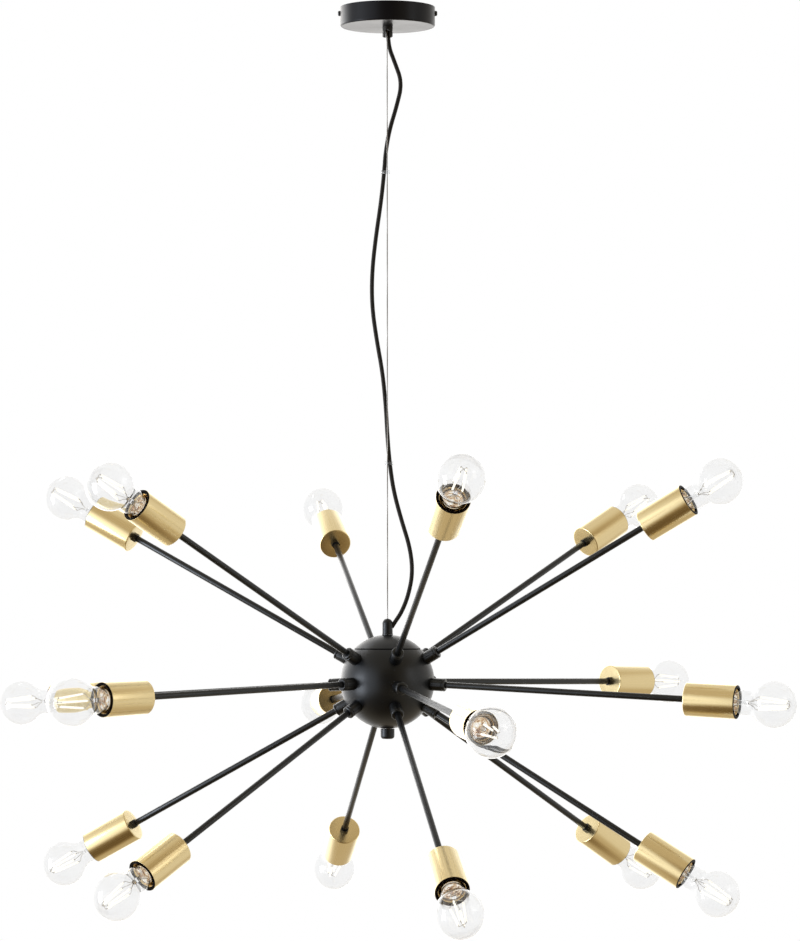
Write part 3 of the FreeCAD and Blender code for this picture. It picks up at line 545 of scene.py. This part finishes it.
holder_outline = filleted([
    (0.0, S + 12.3), (4.05, S + 12.3), (4.05, S + 1.0), (8.0, S + 1.0), (8.0, S + 22.0, 0.6),
    (19.6, S + 26.0, 0.8), (19.6, S + 64.0), (20.7, S + 64.0), (20.7, S + 64.6, 0.3),
    (17.2, S + 64.6, 0.4), (17.2, S + 29.0), (0.0, S + 29.0)], 4)
bm = bmesh.new()
for i, (name, _, _) in enumerate(ARMS):
    turn_into(bm, holder_outline, SEG, PLACES[name], closed=False, shift=0.37 * i)
holders = piece("socket_bodies", finish_mesh(bm, "socket_bodies", [resin], 40))
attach(holders, "fixture")
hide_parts("lampholder_bodies")

# screw shell: a rolled brass tube with a flared mouth
shell_outside, shell_inside = [], []
for i in range(6):
    at = S + 32.2 + 3.6 * i
    shell_outside += [(15.1, at, 0.5), (14.4, at + 0.9, 0.5), (14.4, at + 1.7, 0.5), (15.1, at + 2.6, 0.5)]
    shell_inside = [(14.4, at + 2.9, 0.5), (13.75, at + 1.8, 0.5), (13.75, at + 0.8, 0.5), (14.4, at - 0.3, 0.5)] + shell_inside
shell_outline = filleted(
    [(10.1, S + 29.0, 0.2), (15.1, S + 29.0, 0.5)] + shell_outside
    + [(15.1, S + 58.0, 0.8), (16.95, S + 61.9, 0.4), (16.95, S + 62.4, 0.2), (16.45, S + 62.4, 0.2), (14.4, S + 58.5, 0.8)]
    + shell_inside + [(14.4, S + 29.6, 0.4), (10.1, S + 29.6, 0.2)], 2)
bm = bmesh.new()
for i, (name, _, _) in enumerate(ARMS):
    turn_into(bm, shell_outline, 56, PLACES[name], shift=0.37 * i)
shells = piece("screw_shells", finish_mesh(bm, "screw_shells", [bright_brass], 50))
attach(shells, "fixture")
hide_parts("lampholder_shells")

tube_outline = filleted([(3.0, 47.0, 0.2), (4.0, 47.0, 0.2), (4.0, S + 12.0, 0.2), (3.0, S + 12.0, 0.2)], 2)
bm = bmesh.new()
for i, (name, _, _) in enumerate(ARMS):
    turn_into(bm, tube_outline, 40, PLACES[name], shift=0.37 * i)
rods = piece("arm_rods", finish_mesh(bm, "arm_rods", [black_paint], 50))
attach(rods, "fixture")
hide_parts("arm_tubes")

foot = math.sqrt(59.5 ** 2 - 8.0 ** 2)
inner_foot = math.sqrt(59.5 ** 2 - 4.05 ** 2)
collar_outline = filleted([
    (4.05, inner_foot), (8.0, foot, 0.1), (8.0, 73.7, 0.15), (7.3, 74.1, 0.2), (7.3, 74.9, 0.2),
    (8.0, 75.2, 0.2), (8.0, 76.9, 0.5), (6.7, 78.0, 0.4), (4.05, 78.0, 0.15)], 4)
bm = bmesh.new()
for i, (name, _, _) in enumerate(ARMS):
    turn_into(bm, collar_outline, 56, PLACES[name], shift=0.37 * i)
collars = piece("hub_collars", finish_mesh(bm, "hub_collars", [black_paint], 40))
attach(collars, "fixture")
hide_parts("arm_collars")

for node, material in (
        ("ceiling_bracket", zinc), ("canopy_cover", canopy_paint), ("canopy_side_screws", black_paint),
        ("canopy_gland", nylon), ("gland_bush", nylon), ("wire_gripper", zinc), ("terminal_block", white_plastic),
        ("hub_cord_grip", hub_paint), ("wire_ferrule", zinc), ("hub_shell", hub_paint), ("hub_lid", hub_paint),
        ("hub_finial", hub_paint), ("hub_tie_rod", zinc), ("arm_inner_nuts", zinc), ("sleeve_locknuts", black_paint),
        ("lampholder_contacts", bright_brass)):
    paint(node, material)
for name, _, _ in ARMS:
    paint("bulb_%s_cap" % name, nickel)

# ------------------------------------------------------------------ bulbs
# one glass envelope with its stem, and one filament cage, shared by the eighteen bulbs
C = S + 110.0
RIM = S + 62.0


def envelope(ball, neck, blend, centre, steps_ball, steps_blend, outside):
    """(radius, height) points from the neck over the ball to its tip."""
    back = math.sqrt((ball + blend) ** 2 - (neck + blend) ** 2)
    meet = math.degrees(math.atan2(-back, neck + blend))
    concave = arc((neck + blend, centre - back), blend, 180.0, 180.0 + meet, steps_blend)
    round_part = arc((0.0, centre), ball, meet, 90.0, steps_ball)
    round_part[-1] = (0.0, centre + ball)
    return concave + round_part[1:]


outer = [(10.9, RIM - 9.4), (11.5, RIM - 3.0), (11.8, RIM - 0.9), (12.1, RIM + 0.5), (13.2, RIM + 1.5),
         (14.6, S + 66.4), (15.6, S + 68.9), (16.15, S + 71.6), (16.3, S + 74.0)]
outer += envelope(30.0, 16.3, 20.0, C, 40, 12, True)
inner = envelope(29.3, 15.6, 20.7, C, 40, 12, False)
inner_down = list(reversed(inner)) + [(15.6, S + 74.2), (15.45, S + 71.9), (14.9, S + 69.2),
                                      (13.95, S + 66.9), (12.6, S + 64.4), (11.6, RIM + 1.1), (11.1, RIM + 0.2)]
# the stem: a flare sealed into the neck, a tube, and the closed tip
stem_out = [(10.7, RIM - 1.6), (9.2, RIM - 3.2), (7.0, RIM - 2.4), (5.2, RIM + 0.4), (3.9, RIM + 3.0), (3.2, RIM + 5.6),
            (2.9, RIM + 8.0), (2.9, S + 77.0), (2.6, S + 78.8), (1.8, S + 79.8), (0.0, S + 80.0)]
stem_in = [(0.0, S + 76.6), (1.6, S + 76.0), (2.1, S + 74.6), (2.1, RIM + 8.0), (2.4, RIM + 5.4), (3.1, RIM + 2.8),
           (4.4, RIM + 0.0), (6.2, RIM - 3.2), (8.8, RIM - 4.6), (10.2, RIM - 8.2)]
bm = bmesh.new()
turn_into(bm, outer + inner_down + stem_out + stem_in, 80, Matrix.Identity(4))
glass_mesh = finish_mesh(bm, "bulb_glass", [clear_glass], 60, outward=False)

bm = bmesh.new()
spread_foot, spread_tip, z_foot, z_tip = 8.5, 5.0, S + 92.0, S + 128.0
for i in range(4):
    a = math.radians(45 + 90 * i)
    out = Vector((math.cos(a), math.sin(a), 0.0))
    foot_at = (out * spread_foot + UP * z_foot) * MM
    head_at = (out * spread_tip + UP * z_tip) * MM
    line = [foot_at.lerp(head_at, s) for s in (0.0, 0.02, 0.05, 0.5, 0.95, 0.98, 1.0)]
    tube_into(bm, line, [0.0007, 0.0011, 0.0013, 0.0013, 0.0013, 0.0011, 0.0007], 16, 0)
    way = (head_at - foot_at).normalized()
    # metal end tabs of the strip
    for end, sign in ((foot_at, -1), (head_at, 1)):
        tube_into(bm, [end - way * 0.0002 * sign, end + way * 0.0016 * sign], [0.00075, 0.0005], 10, 1)
    root = (out * 1.5 + UP * (S + 79.0)) * MM
    knee = (out * 5.2 + UP * (S + 86.5)) * MM
    lead = followed("lead_line", [root, root + UP * 0.003 + out * 0.0006, knee, foot_at - way * 0.003, foot_at - way * 0.0012], 5)
    tube_into(bm, lead, 0.00034, 8, 1)
    top = Vector((0.0, 0.0, (z_tip + 2.4) * MM))
    bow = followed("top_line", [head_at + way * 0.0012, head_at + way * 0.0024, top + out * 0.0018, top], 5)
    tube_into(bm, bow, 0.00034, 8, 1)
ball_into(bm, Vector((0, 0, (z_tip + 2.4) * MM)), 0.0010, 12, 8, 1, 0.8)
# the cement that fills the foot of the cap behind the glass
turn_into(bm, filleted([(0.0, RIM - 11.4), (12.25, RIM - 11.4, 0.4), (12.25, RIM - 1.2), (11.95, RIM - 1.2), (11.62, RIM - 3.0),
                        (11.08, RIM - 9.3), (11.0, RIM - 10.0, 0.3), (3.2, RIM - 9.9, 0.6), (0.0, RIM - 10.2)], 3),
          48, Matrix.Identity(4), closed=False, material=2)
cage_mesh = finish_mesh(bm, "bulb_cage", [filament_painted_glow, lead_metal, cement_painted_glow], 40)

for name, _, _ in ARMS:
    glass = piece("bulb_%s_envelope" % name, glass_mesh)
    glass.matrix_world = PLACES[name]
    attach(glass, "glass_" + name)
    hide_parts("bulb_%s_glass" % name)
    cage = piece("bulb_%s_filaments" % name, cage_mesh)
    cage.matrix_world = PLACES[name]
    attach(cage, "glass_" + name)

# ------------------------------------------------------------------ floor and studio light
bm = bmesh.new()
turn_into(bm, [(0.0, -1950.0), (2600.0, -1950.0), (4200.0, -1950.0), (4320.0, -1954.0), (4380.0, -1964.0), (0.0, -1964.0)], 96,
          Matrix.Identity(4), closed=False)
floor_paint, ft, fp = new_material("pale_floor")
ft.links.new(colour_ramp(ft, noise(ft, coordinates(ft), 3.0, 3.0), [(0.3, (0.80, 0.80, 0.79)), (0.7, (0.84, 0.84, 0.83))]),
             fp.inputs["Base Color"])
fp.inputs["Roughness"].default_value = 0.75
fp.inputs["Emission Color"].default_value = (1.0, 1.0, 1.0, 1.0)
fp.inputs["Emission Strength"].default_value = 0.3
floor = piece("studio_floor", finish_mesh(bm, "studio_floor", [floor_paint], 40))
floor.visible_glossy = False
floor.visible_diffuse = False

world = bpy.data.worlds.new("studio")
bpy.context.scene.world = world
world.use_nodes = True
wt = world.node_tree
wt.nodes.clear()
world_out = wt.nodes.new("ShaderNodeOutputWorld")
where = wt.nodes.new("ShaderNodeTexCoord").outputs["Generated"]


def toward(azimuth, elevation):
    """A direction seen from the object: azimuth 0 to the front, + to the right."""
    return direction(azimuth, elevation)


def patch(azimuth, elevation, inner_angle, outer_angle, low, high):
    """low outside a round patch of the surroundings and high inside it."""
    dot = wt.nodes.new("ShaderNodeVectorMath")
    dot.operation = "DOT_PRODUCT"
    wt.links.new(where, dot.inputs[0])
    dot.inputs[1].default_value = toward(azimuth, elevation)
    ranged = wt.nodes.new("ShaderNodeMapRange")
    ranged.interpolation_type = "SMOOTHSTEP"
    wt.links.new(dot.outputs["Value"], ranged.inputs["Value"])
    ranged.inputs["From Min"].default_value = math.cos(math.radians(outer_angle))
    ranged.inputs["From Max"].default_value = math.cos(math.radians(inner_angle))
    ranged.inputs["To Min"].default_value = low
    ranged.inputs["To Max"].default_value = high
    return ranged.outputs["Result"]


def calc(kind, a, b):
    n = wt.nodes.new("ShaderNodeMath")
    n.operation = kind
    for socket, value in zip(n.inputs, (a, b)):
        if isinstance(value, (int, float)):
            socket.default_value = value
        else:
            wt.links.new(value, socket)
    return n.outputs[0]


level = calc("ADD", 0.62, patch(-48, 0, 14, 36, 0.0, 0.70))
level = calc("ADD", level, patch(-86, 6, 20, 50, 0.0, 0.40))
level = calc("ADD", level, patch(-152, 3, 25, 52, 0.0, 1.30))
level = calc("ADD", level, patch(-150, 8, 8, 24, 0.0, 1.60))
level = calc("ADD", level, patch(166, 5, 15, 42, 0.0, 0.80))
level = calc("ADD", level, patch(96, 0, 24, 46, 0.0, 0.24))
level = calc("ADD", level, patch(170, 62, 20, 50, 0.0, 0.22))
level = calc("MULTIPLY", level, patch(-16, -60, 18, 46, 1.0, 0.25))
level = calc("MULTIPLY", level, patch(2, 4, 10, 34, 1.0, 0.20))
level = calc("MULTIPLY", level, patch(48, 30, 14, 34, 1.0, 0.72))

# the dim parts of the room are warm, the lit ones neutral
shade = wt.nodes.new("ShaderNodeValToRGB")
wt.links.new(calc("MULTIPLY", level, 0.5), shade.inputs["Fac"])
for stop in range(2):
    shade.color_ramp.elements.new(0.5)
for element, (at, colour) in zip(shade.color_ramp.elements, (
        (0.07, (1.0, 0.65, 0.28)), (0.25, (1.0, 0.79, 0.50)), (0.37, (1.0, 0.89, 0.72)), (0.50, (1.0, 0.98, 0.95)))):
    element.position = at
    element.color = (*colour, 1.0)

studio = wt.nodes.new("ShaderNodeBackground")
wt.links.new(shade.outputs["Color"], studio.inputs["Color"])
wt.links.new(level, studio.inputs["Strength"])
white = wt.nodes.new("ShaderNodeBackground")
white.inputs["Color"].default_value = (1.0, 1.0, 1.0, 1.0)
white.inputs["Strength"].default_value = 1.0
paths = wt.nodes.new("ShaderNodeLightPath")
inside_glass = calc("MULTIPLY", calc("GREATER_THAN", paths.outputs["Transmission Depth"], 0.5), 0.75)
seen_through = calc("MAXIMUM", paths.outputs["Is Camera Ray"], paths.outputs["Is Transmission Ray"])
seen_through = calc("MAXIMUM", seen_through, inside_glass)
mixer = wt.nodes.new("ShaderNodeMixShader")
wt.links.new(seen_through, mixer.inputs["Fac"])
wt.links.new(studio.outputs[0], mixer.inputs[1])
wt.links.new(white.outputs[0], mixer.inputs[2])
wt.links.new(mixer.outputs[0], world_out.inputs["Surface"])


def soft_light(name, place, aim, size, power, colour=(1.0, 0.98, 0.96)):
    data = bpy.data.lights.new(name, "AREA")
    data.shape = "RECTANGLE"
    data.size, data.size_y = size
    data.energy = power
    data.color = colour
    obj = bpy.data.objects.new(name, data)
    bpy.context.scene.collection.objects.link(obj)
    obj.location = place
    obj.rotation_mode = "QUATERNION"
    obj.rotation_quaternion = (Vector(aim) - Vector(place)).to_track_quat("-Z", "Y")
    obj.visible_camera = False
    obj.visible_transmission = False
    return obj


soft_light("key_softbox", (-3.4, -1.15, -1.15), (0, 0, -0.9), (1.3, 2.3), 75.0, (0.96, 0.98, 1.0))
soft_light("fill_softbox", (3.2, -1.8, 0.2), (0, 0, -0.9), (1.2, 1.8), 8.0)

soft_light("canopy_edge_light", (-0.56, 0.36, -0.03), (0, 0, -0.02), (0.30, 0.20), 0.85, (1.0, 1.0, 1.0))

bpy.context.scene.view_settings.view_transform = "Standard"
bpy.context.scene.view_settings.look = "None"
